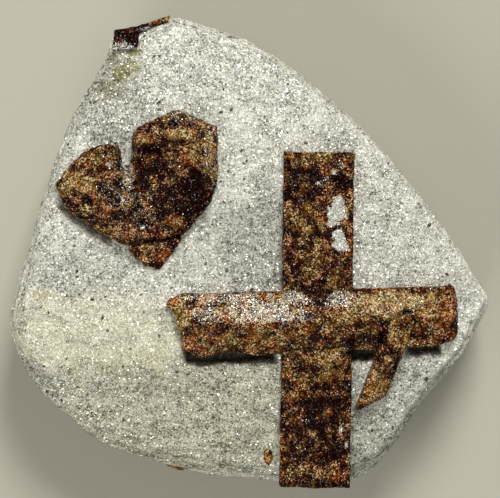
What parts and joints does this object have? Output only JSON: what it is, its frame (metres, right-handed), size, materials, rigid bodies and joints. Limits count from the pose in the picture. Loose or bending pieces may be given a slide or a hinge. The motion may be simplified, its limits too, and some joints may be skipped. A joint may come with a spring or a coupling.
{
  "type": "staurolite specimen in schist matrix",
  "caption": "Rounded slab of silvery mica schist with a right-angled staurolite cross twin, a heart-shaped twin and small dark crystals on its front; lies on its flat back.",
  "frame": {"origin": "centre of the slab's flat back, on the surface that it rests on", "axes": "+Z out of the crystal-bearing front, +Y to the top of the slab, +X to its right"},
  "size_m": [0.0676, 0.0666, 0.0217],
  "materials": {
    "mica_schist": "grainy broken stone, glittering with fine silvery mica",
    "staurolite": "mottled dark red-brown crystal faces, rough with mica grains, sub-vitreous"
  },
  "bodies": {
    "root": {"schist_matrix": "mica_schist", "cross_twin": "staurolite", "heart_twin": "staurolite", "corner_crystal": "staurolite", "foot_crystal": "staurolite", "rim_crystal": "staurolite"}
  },
  "joints": []
}
